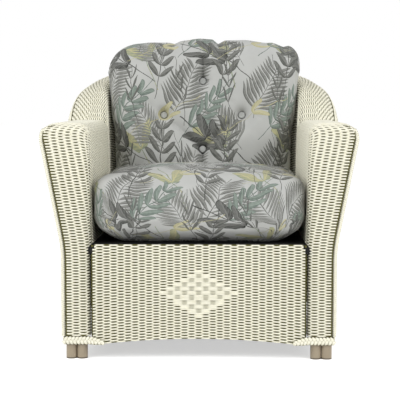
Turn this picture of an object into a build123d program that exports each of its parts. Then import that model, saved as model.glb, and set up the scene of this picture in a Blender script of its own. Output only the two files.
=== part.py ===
"""Outdoor lounge chair of loom-woven strand over a bent-tube frame, with two loose cushions.

Millimetres. +Z is up, the chair faces -Y, and the origin is on the floor under its middle.
"""
import math
import os

from build123d import *

os.makedirs("parts", exist_ok=True)

# Overall form of the woven shell
overall_depth = 920.0
seat_half_width = 297.0
corner_radius = 120.0
deck_height = 318.0
arm_height = 656.0
rim_height = 848.0
hem_height = 40.0
arm_wall_slope = 0.02
back_lean_degrees = 15.0
early_rise = 0.5

# Section of the shell: widths are measured outwards from the inner wall at deck level
arm_top_width = 148.0
arm_foot_width = 81.0
back_top_width = 230.0
back_foot_width = 160.0
waist_height = 310.0
waist_radius = 420.0
inner_roll_radius = 30.0
outer_roll_radius = 42.0
weave_thickness = 7.0

# Arm fronts, apron and braids
front_round_depth = 27.0
front_round_inset = 11.0
front_corner_radius = 34.0
arm_front_set_in = 0.5
apron_rise = 2.0
apron_side_gap = 3.0
apron_corner_radius = 10.0
apron_hem_ends = 39.0
apron_hem_middle = 58.0
braid_radius = 6.0
braid_sink = 2.0
braid_gap = 0.8
foot_braid_height = 25.0
foot_braid_thickness = 7.0
foot_braid_round = 3.0

# Tubes and rods
leg_radius = 15.0
rail_radius = 12.7
strut_radius = 9.5
hem_rod_radius = 5.0
tube_wall = 2.0
leg_gap = 0.1
hoop_bend_radius = 36.0
leg_bend_radius = 260.0
arch_drop = 5.0
rim_tube_gap = 2.5
rear_leg_turn_degrees = 45.0
rear_leg_gap = 2.0
glide_thickness = 4.0
glide_stem = 12.0

# Seat webbing
strap_width = 50.0
strap_thickness = 2.0
deck_cloth_thickness = 1.0
deck_cloth_side_gap = 1.0
long_strap_count = 5
long_strap_side_margin = 81.0
cross_strap_count = 6
cross_strap_front_margin = 62.0
cross_strap_rear_margin = 118.0
rivet_head_radius = 5.0
rivet_head_height = 1.5
rivet_shank_radius = 2.0
rivet_shank_length = 6.0

# Seat cushion
seat_side_gap = 3.0
seat_front_setback = 4.0
back_cushion_room = 186.0
seat_shoulder_height = 155.0
seat_crown = 22.0
seat_crown_share = 0.88
seat_bottom_round_height = 60.0
seat_bottom_round_inset = 78.0
seat_top_round_height = 28.0
seat_top_round_inset = 34.0
seat_corner_radius = 62.0
seat_draw_in = 5.0

# Back cushion, in its own leaning frame
back_cushion_height = 608.0
back_cushion_side_gap = 11.0
back_cushion_spread = 20.0
back_rear_depth = 117.0
back_rear_inset = 146.0
back_front_depth = 60.0
back_front_inset = 60.0
back_crown = 18.0
back_crown_share = 0.5245
back_bottom_corner = 70.0
back_top_corner = 92.0
back_draw_in = 6.0
back_top_bow = 12.0
back_bottom_share = 0.45
back_top_share = 0.6
back_bottom_sink = 36.0
button_spread_share = 0.437
button_middle_height = 356.0
button_half_height = 113.0
button_radius = 11.0
button_thickness = 7.0
button_round = 3.0
tuft_depth = 30.0
tuft_radius = 42.0
crease_radius = 26.0
crease_depth = 9.0
anchor_thickness = 3.0
twine_radius = 1.0
cover_thickness = 4.0
zip_width = 9.0
zip_thickness = 1.5
zip_margin = 90.0

clearance = 0.3
snug_fit = 0.1
overshoot = 20.0

# Values that follow from the sizes above
front_y = -overall_depth / 2
back_slope = math.tan(math.radians(back_lean_degrees))
braid_y = front_y + braid_radius
cap_back_y = front_y + front_round_depth
deck_top = deck_height + deck_cloth_thickness
inner_foot_height = deck_top + clearance
apron_height = deck_top + apron_rise
long_strap_reach = seat_half_width - long_strap_side_margin
long_strap_pitch = 2 * long_strap_reach / (long_strap_count - 1)
strut_x = long_strap_reach - long_strap_pitch / 2
back_cushion_bottom_half = seat_half_width - back_cushion_side_gap
back_cushion_top_half = back_cushion_bottom_half + back_cushion_spread
back_crown_run = back_crown_share * back_cushion_bottom_half
button_half_width = button_spread_share * back_cushion_bottom_half


def between(start, end, share):
    """Value a share of the way from start to end."""
    return start + (end - start) * share


def ease(share):
    """Smooth step from 0 to 1."""
    return share * share * (3 - 2 * share)


def offset_path(points, insets):
    """Polyline moved to its right by one inset per run, with its runs met again."""
    lines = []
    for start, end, inset in zip(points, points[1:], insets):
        along = (end - start).normalized()
        right = Vector(along.Y, -along.X)
        lines.append((start + right * inset, along))
    moved = [lines[0][0]]
    for (a, u), (b, v) in zip(lines, lines[1:]):
        step = ((b - a).X * v.Y - (b - a).Y * v.X) / (u.X * v.Y - u.Y * v.X)
        moved.append(a + u * step)
    end, along = lines[-1]
    moved.append(end + along * (points[-1] - points[-2]).length)
    return moved


def level(point, neighbour, height):
    """Point on the line through point and neighbour at the given height."""
    share = (height - point.Y) / (neighbour.Y - point.Y)
    return point + (neighbour - point) * share


class Round:
    """Arc that rounds the corner of a polyline."""

    def __init__(self, before, corner, after, radius):
        u = (before - corner).normalized()
        v = (after - corner).normalized()
        half = math.radians(u.get_angle(v)) / 2
        self.radius = radius
        self.centre = corner + (u + v).normalized() * (radius / math.sin(half))
        self.start = corner + u * (radius / math.tan(half))
        self.end = corner + v * (radius / math.tan(half))
        first = self.start - self.centre
        self.angle = math.atan2(first.Y, first.X)
        side = (corner - before).X * (after - corner).Y - (corner - before).Y * (after - corner).X
        self.turn = math.copysign(math.pi - 2 * half, side)

    def at(self, share, radius=None):
        """Point a share of the way round, on the arc or on another radius about its centre."""
        turned = self.angle + self.turn * share
        reach = self.radius if radius is None else radius
        return self.centre + Vector(math.cos(turned), math.sin(turned)) * reach


class Section:
    """Rounded section of the shell at a place on its way round, moved inwards by an inset."""

    def __init__(self, turn, rise, inset=0.0):
        slope = between(arm_wall_slope, back_slope, turn)
        top = between(arm_height, rim_height, rise)
        foot = between(arm_foot_width, back_foot_width, turn)
        points = [
            Vector(slope * (inner_foot_height - deck_height), inner_foot_height),
            Vector(slope * (top - deck_height), top),
            Vector(between(arm_top_width, back_top_width, turn), top),
            Vector(foot, waist_height),
            Vector(foot, hem_height),
        ]
        moved = offset_path(points, [inset] * 4)
        self.top = top
        self.inner_foot = level(moved[0], moved[1], inner_foot_height)
        self.outer_foot = Vector(moved[4].X, hem_height)
        self.inner_roll = Round(moved[0], moved[1], moved[2], inner_roll_radius - inset)
        self.outer_roll = Round(moved[1], moved[2], moved[3], outer_roll_radius - inset)
        self.waist = Round(moved[2], moved[3], moved[4], waist_radius + inset)

    def seam_shares(self):
        """Shares of the outer roll where the inner and the outer panel stop beside the rim braid."""
        reach = outer_roll_radius - braid_sink
        half_slot = math.asin((braid_radius + braid_gap) / reach) / abs(self.outer_roll.turn)
        return 0.5 - half_slot, 0.5 + half_slot

    def reach(self):
        """Greatest width of the section."""
        return self.outer_roll.centre.X + outer_roll_radius

    def rim_centre(self):
        """Middle of the tube that carries the rim."""
        depth = weave_thickness + rim_tube_gap + rail_radius
        middle = (self.inner_roll.start.X + self.outer_roll.end.X) / 2
        return Vector(middle, self.top - depth)

    def braid_centre(self):
        """Middle of the braid in the seam of the rim."""
        return self.outer_roll.at(0.5, outer_roll_radius - braid_sink)

    def hem_rod_centre(self):
        """Middle of the rod inside the lower edge of the outer panel."""
        depth = weave_thickness + clearance + hem_rod_radius
        return Vector(self.outer_foot.X - depth, hem_height + 2 * hem_rod_radius)


class Station:
    """Upright plane across the shell, with the section of the shell there."""

    def __init__(self, x, y, outward_degrees, turn, rise):
        outward = math.radians(outward_degrees)
        self.foot = Vector(x, y, 0)
        self.outward = Vector(-math.cos(outward), math.sin(outward), 0)
        self.turn = turn
        self.rise = rise

    def section(self, inset=0.0):
        return Section(self.turn, self.rise, inset)

    def place(self, point):
        return self.foot + self.outward * point.X + Vector(0, 0, point.Y)

    def mirrored(self):
        other = Station(-self.foot.X, self.foot.Y, 0, self.turn, self.rise)
        other.outward = Vector(-self.outward.X, self.outward.Y, 0)
        return other


arm_section = Section(0.0, 0.0)
back_wall_y = overall_depth / 2 - Section(1.0, 1.0).reach()
corner_x = seat_half_width - corner_radius
corner_y = back_wall_y - corner_radius
rim_run = (corner_radius + arm_top_width) * math.pi / 2 + corner_x


def corner_station(degrees):
    """Station on the left rear corner, from 0 at the arm to 90 at the back."""
    angle = math.radians(degrees)
    x = -corner_x - corner_radius * math.cos(angle)
    y = corner_y + corner_radius * math.sin(angle)
    travelled = (corner_radius + arm_top_width) * angle
    return Station(x, y, degrees, ease(degrees / 90), ease((travelled / rim_run) ** early_rise))


def back_station(x):
    """Station on the left half of the straight back."""
    travelled = rim_run + x
    return Station(x, back_wall_y, 90, 1.0, ease((travelled / rim_run) ** early_rise))


arm_station = Station(-seat_half_width, 0, 0, 0.0, 0.0)
left_stations = [corner_station(degrees) for degrees in (0, 15, 30, 45, 60, 75, 90)]
left_stations.append(back_station(-corner_x / 2))
back_stations = left_stations + [back_station(0)] + [s.mirrored() for s in reversed(left_stations)]


def line(a, b):
    return Edge.make_line(a, b)


def arc(a, b, c):
    return Edge.make_three_point_arc(a, b, c)


def part_of_round(corner, first, last, place):
    """Edge along a share of a rounded corner."""
    return arc(place(corner.at(first)), place(corner.at((first + last) / 2)), place(corner.at(last)))


def inner_panel_wire(station):
    """Outline of the woven inner wall and rolled top, across the shell."""
    outer = station.section()
    inner = station.section(weave_thickness)
    place = station.place
    seam = outer.seam_shares()[0]
    edges = [line(place(outer.inner_foot), place(outer.inner_roll.start))]
    edges.append(part_of_round(outer.inner_roll, 0, 1, place))
    edges.append(line(place(outer.inner_roll.end), place(outer.outer_roll.start)))
    edges.append(part_of_round(outer.outer_roll, 0, seam, place))
    edges.append(line(place(outer.outer_roll.at(seam)), place(inner.outer_roll.at(seam))))
    edges.append(part_of_round(inner.outer_roll, seam, 0, place))
    edges.append(line(place(inner.outer_roll.start), place(inner.inner_roll.end)))
    edges.append(part_of_round(inner.inner_roll, 1, 0, place))
    edges.append(line(place(inner.inner_roll.start), place(inner.inner_foot)))
    edges.append(line(place(inner.inner_foot), place(outer.inner_foot)))
    return Wire(edges)


def outer_panel_wire(station):
    """Outline of the woven outer wall from the rim seam to the hem, across the shell."""
    outer = station.section()
    inner = station.section(weave_thickness)
    place = station.place
    seam = outer.seam_shares()[1]
    edges = [part_of_round(outer.outer_roll, seam, 1, place)]
    edges.append(line(place(outer.outer_roll.end), place(outer.waist.start)))
    edges.append(part_of_round(outer.waist, 0, 1, place))
    edges.append(line(place(outer.waist.end), place(outer.outer_foot)))
    edges.append(line(place(outer.outer_foot), place(inner.outer_foot)))
    edges.append(line(place(inner.outer_foot), place(inner.waist.end)))
    edges.append(part_of_round(inner.waist, 1, 0, place))
    edges.append(line(place(inner.waist.start), place(inner.outer_roll.end)))
    edges.append(part_of_round(inner.outer_roll, 1, seam, place))
    edges.append(line(place(inner.outer_roll.at(seam)), place(outer.outer_roll.at(seam))))
    return Wire(edges)


def along_arm(wire, start_y):
    """Solid with the given section from start_y back to the rear corner of the left arm."""
    face = Face(wire).moved(Location((0, start_y, 0)))
    return extrude(face, amount=corner_y - start_y, dir=(0, 1, 0))


def ring(station, centre, radius):
    """Circle across the shell, as four quarter arcs."""
    points = []
    for eighth in range(9):
        angle = math.pi / 4 * eighth
        points.append(station.place(centre + Vector(math.cos(angle), math.sin(angle)) * radius))
    return Wire([arc(*points[first : first + 3]) for first in (0, 2, 4, 6)])


def round_back(centre_of, radius):
    """Round bar that follows one point of the section round the back."""
    rings = [ring(station, centre_of(station.section()), radius) for station in back_stations]
    return Solid.make_loft(rings)


def straight_bar(start, end, radius):
    """Round bar between two points."""
    along = Vector(end) - Vector(start)
    return Solid.make_cylinder(radius, along.length, Plane(origin=start, z_dir=along))


def straight_tube(start, end, radius):
    return straight_bar(start, end, radius) - straight_bar(start, end, radius - tube_wall)


def bent_bar(path, radius):
    """Round bar along a path of runs and arcs."""
    plane = Plane(origin=path @ 0, z_dir=path % 0)
    return sweep(plane * Circle(radius), path=path)


def bent_tube(path, radius):
    return bent_bar(path, radius) - bent_bar(path, radius - tube_wall)


def cut_all(shape, tools):
    for tool in tools:
        shape = shape - tool
    return shape


def on_both_sides(name, left):
    """Left piece and its mirror image, by name."""
    return {"left_" + name: left, "right_" + name: mirror(left, about=Plane.YZ)}


def save(pieces):
    for name, shape in pieces.items():
        export_step(shape, "parts/" + name + ".step")


# Tube hoop inside each arm front: its two ends are the paired front feet
hoop_inset = weave_thickness + clearance + leg_radius
hoop_side = Section(0.0, 0.0, hoop_inset)
hoop_y = front_y + hoop_inset
hoop_outer_x = hoop_side.outer_foot.X
hoop_inner_x = hoop_outer_x - 2 * leg_radius - leg_gap
hoop_top = arm_height - hoop_inset - arch_drop
hoop_waist = hoop_side.waist.start
hoop_outer_top = level(hoop_waist, hoop_side.outer_roll.end, hoop_top)
hoop_inner_top = arm_wall_slope * (hoop_top - deck_height) + hoop_inset + arch_drop


def hoop_point(across, height):
    return Vector(-seat_half_width - across, hoop_y, height)


hoop_path = FilletPolyline(
    hoop_point(hoop_inner_x, glide_thickness),
    hoop_point(hoop_inner_x, deck_height),
    hoop_point(hoop_inner_top, hoop_top),
    hoop_point(hoop_outer_top.X, hoop_top),
    hoop_point(hoop_outer_x, waist_height),
    hoop_point(hoop_outer_x, glide_thickness),
    radius=[leg_bend_radius, hoop_bend_radius, hoop_bend_radius, waist_radius],
)
hoop_bar = bent_bar(hoop_path, leg_radius)
save(on_both_sides("front_hoop", bent_tube(hoop_path, leg_radius)))

# Rear legs, which lean out to the rim
rear_station = corner_station(rear_leg_turn_degrees)
rear_section = rear_station.section()
rear_depth = weave_thickness + clearance + 2 * hem_rod_radius + rear_leg_gap + leg_radius
rear_foot = rear_station.place(Vector(rear_section.outer_foot.X - rear_depth, glide_thickness))
rear_head = rear_station.place(rear_section.rim_centre())
rear_path = FilletPolyline(
    rear_foot,
    Vector(rear_foot.X, rear_foot.Y, deck_height),
    rear_head,
    radius=leg_bend_radius,
)
rim_bar = round_back(Section.rim_centre, rail_radius)
rim_bore = round_back(Section.rim_centre, rail_radius - tube_wall)
rear_leg_bar = bent_bar(rear_path, leg_radius) - rim_bar
save(on_both_sides("rear_leg", bent_tube(rear_path, leg_radius) - rim_bar))
save({"back_rim_tube": rim_bar - rim_bore})

# Arm rails between the hoops and the back rim tube
arm_rail_centre = arm_section.rim_centre()
arm_rail_x = -seat_half_width - arm_rail_centre.X
arm_rail_front = (arm_rail_x, hoop_y, arm_rail_centre.Y)
arm_rail_rear = (arm_rail_x, corner_y, arm_rail_centre.Y)
arm_rail = straight_tube(arm_rail_front, arm_rail_rear, rail_radius)
save(on_both_sides("arm_rail", arm_rail - hoop_bar))

# Seat rails: the webbing crosses on top of them
side_rail_top = deck_height - 2 * strap_thickness
end_rail_top = deck_height - strap_thickness
side_rail_x = -seat_half_width - hoop_inner_x
side_rail_z = side_rail_top - rail_radius
end_rail_z = end_rail_top - rail_radius
rear_rail_y = rear_foot.Y
right_hoop_bar = mirror(hoop_bar, about=Plane.YZ)
right_rear_leg_bar = mirror(rear_leg_bar, about=Plane.YZ)
front_rail_ends = ((side_rail_x, hoop_y, end_rail_z), (-side_rail_x, hoop_y, end_rail_z))
rear_rail_ends = ((rear_foot.X, rear_rail_y, end_rail_z), (-rear_foot.X, rear_rail_y, end_rail_z))
side_rail_ends = ((side_rail_x, hoop_y, side_rail_z), (side_rail_x, rear_rail_y, side_rail_z))
front_rail_bar = straight_bar(*front_rail_ends, rail_radius)
rear_rail_bar = straight_bar(*rear_rail_ends, rail_radius)
front_rail = cut_all(straight_tube(*front_rail_ends, rail_radius), [hoop_bar, right_hoop_bar])
rear_rail = cut_all(straight_tube(*rear_rail_ends, rail_radius), [rear_leg_bar, right_rear_leg_bar])
side_rail = straight_tube(*side_rail_ends, rail_radius)
side_rail = cut_all(side_rail, [hoop_bar, rear_leg_bar, front_rail_bar, rear_rail_bar])

# Struts from the rear rail up to the rim
strut_station = back_station(-strut_x)
strut_head = strut_station.place(strut_station.section().rim_centre())
strut_foot = (-strut_x, rear_rail_y, end_rail_z)
strut = straight_tube(strut_foot, strut_head, strut_radius)
strut_hole = straight_bar(strut_foot, strut_head, strut_radius + clearance)
strut_holes = [strut_hole, mirror(strut_hole, about=Plane.YZ)]
save(on_both_sides("back_strut", strut - rear_rail_bar - rim_bar))

# Rods in the lower edges
apron_back_y = hoop_y - rail_radius - clearance
apron_front_y = apron_back_y - weave_thickness
apron_rod_y = apron_back_y + clearance + hem_rod_radius
apron_rod_lift = hem_rod_radius + clearance


def apron_rod():
    path = arc(
        (side_rail_x, apron_rod_y, apron_hem_ends + apron_rod_lift),
        (0, apron_rod_y, apron_hem_middle + apron_rod_lift),
        (-side_rail_x, apron_rod_y, apron_hem_ends + apron_rod_lift),
    )
    rod = bent_bar(path, hem_rod_radius)
    return rod - hoop_bar - right_hoop_bar


hem_rod_place = arm_section.hem_rod_centre()
hem_rod_x = -seat_half_width - hem_rod_place.X
side_rod_front = (hem_rod_x, hoop_y, hem_rod_place.Y)
side_rod_rear = (hem_rod_x, corner_y, hem_rod_place.Y)
side_rod = straight_bar(side_rod_front, side_rod_rear, hem_rod_radius)
save(on_both_sides("side_hem_rod", side_rod - hoop_bar))
save({"back_hem_rod": round_back(Section.hem_rod_centre, hem_rod_radius)})
save({"apron_hem_rod": apron_rod()})

# Glides pressed into the tube ends
leg_places = [
    (-seat_half_width - hoop_inner_x, hoop_y),
    (-seat_half_width - hoop_outer_x, hoop_y),
    (rear_foot.X, rear_foot.Y),
]
stem_radius = leg_radius - tube_wall - snug_fit


def glide(x, y):
    plate = straight_bar((x, y, 0), (x, y, glide_thickness), leg_radius)
    stem = straight_bar((x, y, 0), (x, y, glide_thickness + glide_stem), stem_radius)
    return plate + stem


glides = [glide(side * x, y) for x, y in leg_places for side in (1, -1)]
save({"leg_glides": Compound(glides)})

# Seat webbing, riveted to the rails
cross_top = side_rail_top + strap_thickness
long_xs = [i * long_strap_pitch - long_strap_reach for i in range(long_strap_count)]
first_cross_y = hoop_y + cross_strap_front_margin
last_cross_y = rear_rail_y - cross_strap_rear_margin
cross_strap_pitch = (last_cross_y - first_cross_y) / (cross_strap_count - 1)
cross_ys = [first_cross_y + i * cross_strap_pitch for i in range(cross_strap_count)]


def rivet(x, y, seat):
    head = straight_bar((x, y, seat), (x, y, seat + rivet_head_height), rivet_head_radius)
    shank = straight_bar((x, y, seat), (x, y, seat - rivet_shank_length), rivet_shank_radius)
    return head + shank


def rivet_hole(x, y, seat):
    low = seat - rivet_shank_length - clearance
    return straight_bar((x, y, low), (x, y, seat + clearance), rivet_shank_radius + snug_fit)


def box_between(low, high):
    size = Vector(high) - Vector(low)
    middle = (Vector(high) + Vector(low)) / 2
    return Pos(middle) * Box(size.X, size.Y, size.Z)


long_ends = [(x, y) for x in long_xs for y in (hoop_y, rear_rail_y)]
cross_ends = [(x, y) for x in (side_rail_x, -side_rail_x) for y in cross_ys]
long_holes = [rivet_hole(x, y, deck_top) for x, y in long_ends]
cross_holes = [rivet_hole(x, y, cross_top) for x, y in cross_ends]
strap_half = strap_width / 2
strap_tail = rivet_head_radius + clearance
long_straps = []
for x in long_xs:
    low = (x - strap_half, hoop_y - strap_tail, deck_height - strap_thickness)
    high = (x + strap_half, rear_rail_y + strap_tail, deck_height)
    long_straps.append(cut_all(box_between(low, high), long_holes))
cross_straps = []
for y in cross_ys:
    low = (side_rail_x - strap_tail, y - strap_half, side_rail_top)
    high = (-side_rail_x + strap_tail, y + strap_half, cross_top)
    cross_straps.append(cut_all(box_between(low, high), cross_holes))
rivets = [rivet(x, y, deck_top) for x, y in long_ends]
rivets += [rivet(x, y, cross_top) for x, y in cross_ends]
cloth_half = seat_half_width - deck_cloth_side_gap
cloth_low = (-cloth_half, hoop_y - strap_tail, deck_height)
cloth_high = (cloth_half, rear_rail_y + strap_tail, deck_top)
save({"deck_cloth": cut_all(box_between(cloth_low, cloth_high), long_holes + strut_holes)})
save({"long_straps": Compound(long_straps)})
save({"cross_straps": Compound(cross_straps)})
save({"strap_rivets": Compound(rivets)})
save({"front_seat_rail": cut_all(front_rail, long_holes)})
save({"rear_seat_rail": cut_all(rear_rail, long_holes)})
save(on_both_sides("seat_side_rail", cut_all(side_rail, cross_holes)))

# Woven panels of the shell
save(on_both_sides("arm_inner_weave", along_arm(inner_panel_wire(arm_station), cap_back_y)))
save({"back_inner_weave": Solid.make_loft([inner_panel_wire(s) for s in back_stations])})
save({"back_outer_weave": Solid.make_loft([outer_panel_wire(s) for s in back_stations])})

# Woven arm fronts, rounded over towards the seat and the arm top
cap_foot = hem_height + foot_braid_height + clearance
cap_edge_inset = braid_sink + braid_radius + clearance


def cap_wire(y, inset, edge_inset, foot):
    """Outline of an arm front at one depth."""
    points = [
        Vector(arm_front_set_in, foot),
        Vector(arm_wall_slope * (arm_height - deck_height), arm_height),
        Vector(arm_top_width, arm_height),
        Vector(arm_foot_width, waist_height),
        Vector(arm_foot_width, foot),
    ]
    moved = offset_path(points, [inset, inset, edge_inset, edge_inset])
    first = level(moved[0], moved[1], foot)
    last = Vector(moved[4].X, foot)
    inner_corner = Round(moved[0], moved[1], moved[2], front_corner_radius)
    outer_corner = Round(moved[1], moved[2], moved[3], outer_roll_radius - edge_inset)
    waist = Round(moved[2], moved[3], moved[4], waist_radius + edge_inset)

    def place(point):
        return Vector(-seat_half_width - point.X, y, point.Y)

    edges = [line(place(first), place(inner_corner.start))]
    edges.append(part_of_round(inner_corner, 0, 1, place))
    edges.append(line(place(inner_corner.end), place(outer_corner.start)))
    edges.append(part_of_round(outer_corner, 0, 1, place))
    edges.append(line(place(outer_corner.end), place(waist.start)))
    edges.append(part_of_round(waist, 0, 1, place))
    edges.append(line(place(waist.end), place(last)))
    edges.append(line(place(last), place(first)))
    return Wire(edges)


def cap_solid(shift, wall, edge_inset, foot, extra):
    """Arm front filled solid, moved back by shift and in by wall."""
    wires = []
    if extra:
        wires.append(cap_wire(cap_back_y + shift + extra, wall, edge_inset, foot))
    for degrees in (0, 22.5, 45, 67.5, 90):
        angle = math.radians(degrees)
        depth = front_round_depth * math.sin(angle)
        inset = front_round_inset * (1 - math.cos(angle))
        wires.append(cap_wire(cap_back_y + shift - depth, wall + inset, edge_inset, foot))
    return Solid.make_loft(wires, ruled=True)


cap = cap_solid(0, 0, cap_edge_inset, cap_foot, 0)
cap_hollow = cap_solid(weave_thickness, weave_thickness, -overshoot, cap_foot - overshoot, overshoot)
rail_hole = straight_bar(*front_rail_ends, rail_radius + clearance)
save(on_both_sides("arm_front_weave", cap - cap_hollow - rail_hole))

outer_start_y = braid_y + braid_radius + clearance
arm_outer = along_arm(outer_panel_wire(arm_station), outer_start_y)
save(on_both_sides("arm_outer_weave", arm_outer - cap))


# Woven apron with an arched lower edge
def apron():
    half = seat_half_width - apron_side_gap
    edges = [
        line((-half, 0, apron_hem_ends), (-half, 0, apron_height - apron_corner_radius)),
        arc(
            (-half, 0, apron_height - apron_corner_radius),
            (
                -half + apron_corner_radius * (1 - math.sqrt(0.5)),
                0,
                apron_height - apron_corner_radius * (1 - math.sqrt(0.5)),
            ),
            (-half + apron_corner_radius, 0, apron_height),
        ),
        line((-half + apron_corner_radius, 0, apron_height), (0, 0, apron_height)),
    ]
    side = Wire(edges)
    other = mirror(side, about=Plane.YZ)
    hem = arc((-half, 0, apron_hem_ends), (0, 0, apron_hem_middle), (half, 0, apron_hem_ends))
    face = Face(Wire(side.edges() + other.edges() + [hem]))
    return extrude(face.moved(Location((0, apron_front_y, 0))), amount=weave_thickness, dir=(0, 1, 0))


save({"apron_weave": apron()})


# Braids
def edge_braid():
    """Braid up the outer front edge of the left arm, over to the middle of the arm's outer roll."""
    sunk = Section(0.0, 0.0, braid_sink)

    def place(point):
        return Vector(-seat_half_width - point.X, braid_y, point.Y)

    path = Wire(
        [
            line(place(Vector(sunk.outer_foot.X, cap_foot)), place(sunk.waist.end)),
            part_of_round(sunk.waist, 1, 0, place),
            line(place(sunk.waist.start), place(sunk.outer_roll.end)),
            part_of_round(sunk.outer_roll, 1, 0.5, place),
        ]
    )
    return bent_bar(path, braid_radius) - cap


def foot_braid():
    low = (-seat_half_width - arm_foot_width, front_y, hem_height)
    high_x = -seat_half_width - apron_side_gap
    high = (high_x, front_y + foot_braid_thickness, hem_height + foot_braid_height)
    bar = box_between(low, high)
    return fillet(bar.edges().filter_by(Axis.X), foot_braid_round)


rim_braid_centre = arm_section.braid_centre()
rim_braid_x = -seat_half_width - rim_braid_centre.X
rim_braid = straight_bar(
    (rim_braid_x, cap_back_y, rim_braid_centre.Y),
    (rim_braid_x, corner_y, rim_braid_centre.Y),
    braid_radius,
)
save(on_both_sides("edge_braid", edge_braid()))
save(on_both_sides("foot_braid", foot_braid()))
save(on_both_sides("arm_rim_braid", rim_braid))
save({"back_rim_braid": round_back(Section.braid_centre, braid_radius)})


# Cushions
def corner_edge(centre, radius, first_degrees, z):
    """Quarter arc about a centre, turning left."""
    points = []
    for degrees in (first_degrees, first_degrees + 45, first_degrees + 90):
        angle = math.radians(degrees)
        points.append(Vector(centre.X + radius * math.cos(angle), centre.Y + radius * math.sin(angle), z))
    return arc(*points)


def pillow_wire(low, high, low_half, high_half, low_radius, high_radius, draw_in, top_bow, z):
    """Four-cornered outline with bowed edges: low and high are the ends along Y."""
    corners = [
        corner_edge(Vector(low_half - low_radius, low + low_radius), low_radius, -90, z),
        corner_edge(Vector(high_half - high_radius, high - high_radius), high_radius, 0, z),
        corner_edge(Vector(-high_half + high_radius, high - high_radius), high_radius, 90, z),
        corner_edge(Vector(-low_half + low_radius, low + low_radius), low_radius, 180, z),
    ]
    bows = [Vector(-draw_in, 0), Vector(0, top_bow), Vector(draw_in, 0), Vector(0, draw_in)]
    edges = []
    for corner, following, bow in zip(corners, corners[1:] + corners[:1], bows):
        edges.append(corner)
        start = corner @ 1
        end = following @ 0
        edges.append(arc(start, (start + end) / 2 + bow, end))
    return Wire(edges)


seat_low = front_y + seat_front_setback
seat_high = back_wall_y - back_cushion_room
seat_half = seat_half_width - seat_side_gap
seat_half_depth = (seat_high - seat_low) / 2
seat_crown_run = seat_crown_share * (seat_half_depth - seat_top_round_inset)
seat_base = deck_top + clearance
round_steps = (0, 30, 60, 90)
crown_steps = (0.35, 0.7, 1.0)


def seat_pillow(shrink):
    """Seat cushion form, taken in all round by shrink."""
    wires = []

    def add(inset, height):
        total = inset + shrink
        radius = seat_corner_radius * (1 - total / seat_half_depth)
        wires.append(
            pillow_wire(
                seat_low + total,
                seat_high - total,
                seat_half - total,
                seat_half - total,
                radius,
                radius,
                seat_draw_in,
                -seat_draw_in,
                height,
            )
        )

    base = seat_base + shrink
    shoulder = seat_base + seat_shoulder_height - shrink
    for degrees in round_steps:
        angle = math.radians(degrees)
        inset = seat_bottom_round_inset * (1 - math.sin(angle))
        add(inset, base + seat_bottom_round_height * (1 - math.cos(angle)))
    for degrees in round_steps:
        angle = math.radians(degrees)
        inset = seat_top_round_inset * (1 - math.cos(angle))
        add(inset, shoulder + seat_top_round_height * math.sin(angle))
    for share in crown_steps:
        rise = seat_crown * (1 - (1 - share) ** 2)
        add(seat_top_round_inset + seat_crown_run * share, shoulder + seat_top_round_height + rise)
    return Solid.make_loft(wires, ruled=True)


def zip_strip(full, inside, low, high):
    """Thin strip that follows a cushion's side inside a box."""
    return (full & box_between(low, high)) - inside


seat_form = seat_pillow(0)
seat_zip_z = seat_base + (seat_bottom_round_height + seat_shoulder_height) / 2
seat_zip_low = (-seat_half + zip_margin, seat_high - overshoot, seat_zip_z - zip_width / 2)
seat_zip_high = (seat_half - zip_margin, seat_high + overshoot, seat_zip_z + zip_width / 2)
save({"seat_cushion_cover": seat_form - seat_pillow(cover_thickness)})
save({"seat_cushion_core": seat_pillow(cover_thickness + clearance)})
zip_outside = seat_pillow(-clearance - zip_thickness)
seat_zip = zip_strip(zip_outside, seat_pillow(-clearance), seat_zip_low, seat_zip_high)
save({"seat_cushion_zip": seat_zip})

# The back cushion's frame: X across, Y up along its lean, Z towards the sitter
lean = math.radians(back_lean_degrees)
back_base_z = deck_top - back_bottom_sink
back_wall_at_base = back_wall_y + back_slope * (back_base_z - deck_height)
back_base_y = back_wall_at_base - clearance / math.cos(lean)
back_plane = Plane(
    origin=(0, back_base_y, back_base_z),
    x_dir=(1, 0, 0),
    z_dir=(0, -math.cos(lean), math.sin(lean)),
)
back_front = back_rear_depth + back_front_depth + back_crown
buttons_at = [
    (0, button_middle_height + button_half_height),
    (-button_half_width, button_middle_height),
    (button_half_width, button_middle_height),
    (0, button_middle_height - button_half_height),
]
button_seat = back_front - tuft_depth


def back_pillow(shrink):
    """Back cushion form in its own frame, taken in all round by shrink."""
    wires = []

    def add(inset, depth):
        corner_scale = 1 - (inset + shrink) / back_cushion_bottom_half
        wires.append(
            pillow_wire(
                inset * back_bottom_share + shrink,
                back_cushion_height - inset * back_top_share - shrink,
                back_cushion_bottom_half - inset - shrink,
                back_cushion_top_half - inset - shrink,
                back_bottom_corner * corner_scale,
                back_top_corner * corner_scale,
                back_draw_in,
                back_top_bow,
                depth,
            )
        )

    for degrees in round_steps:
        angle = math.radians(degrees)
        inset = back_rear_inset * (1 - math.sin(angle))
        add(inset, shrink + (back_rear_depth - shrink) * (1 - math.cos(angle)))
    front_depth = back_front_depth - shrink
    for degrees in round_steps[1:]:
        angle = math.radians(degrees)
        inset = back_front_inset * (1 - math.cos(angle))
        add(inset, back_rear_depth + front_depth * math.sin(angle))
    for share in crown_steps:
        rise = back_crown * (1 - (1 - share) ** 2)
        add(back_front_inset + back_crown_run * share, back_rear_depth + front_depth + rise)
    return Solid.make_loft(wires, ruled=True)


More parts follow.
